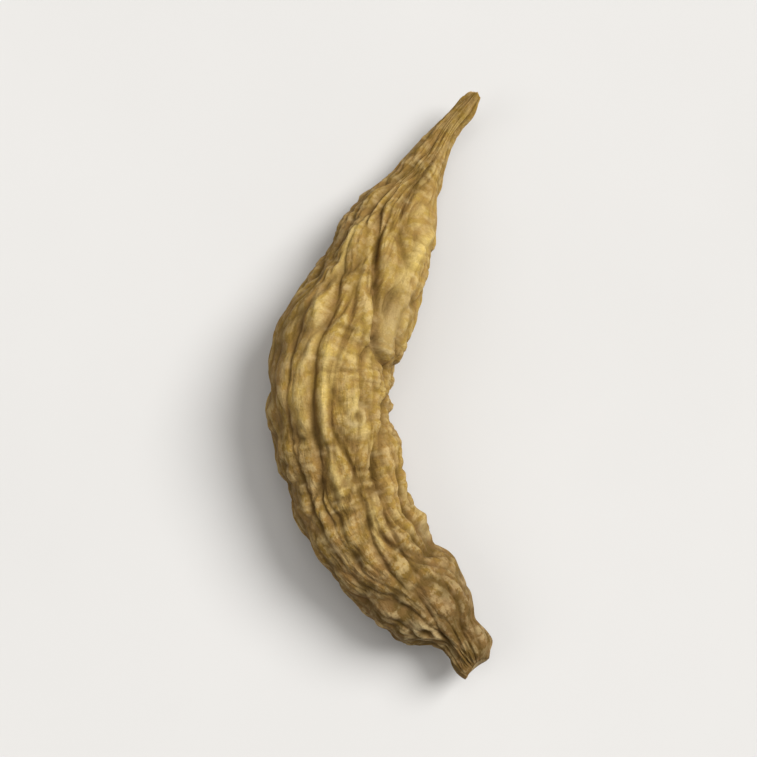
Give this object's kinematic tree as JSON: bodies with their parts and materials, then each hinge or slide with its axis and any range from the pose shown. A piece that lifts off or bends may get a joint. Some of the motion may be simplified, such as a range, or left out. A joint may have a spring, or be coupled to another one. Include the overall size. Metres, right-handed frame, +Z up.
{
  "type": "ginseng root",
  "caption": "Dried ginseng root: a plump crescent with long furrows, a thin broken tail and a snapped neck, lying on its side.",
  "frame": {"origin": "bottom centre of the bounding box, on the surface that the root lies on", "axes": "+Z up from the surface, +Y towards the thin tail along the root's length, +X to the side its hollow bend faces"},
  "size_m": [0.0182, 0.0482, 0.01],
  "materials": {
    "root": "matt dried skin, straw tan on the ridges and brown in the furrows"
  },
  "bodies": {
    "root": {"root": "root"}
  },
  "joints": []
}
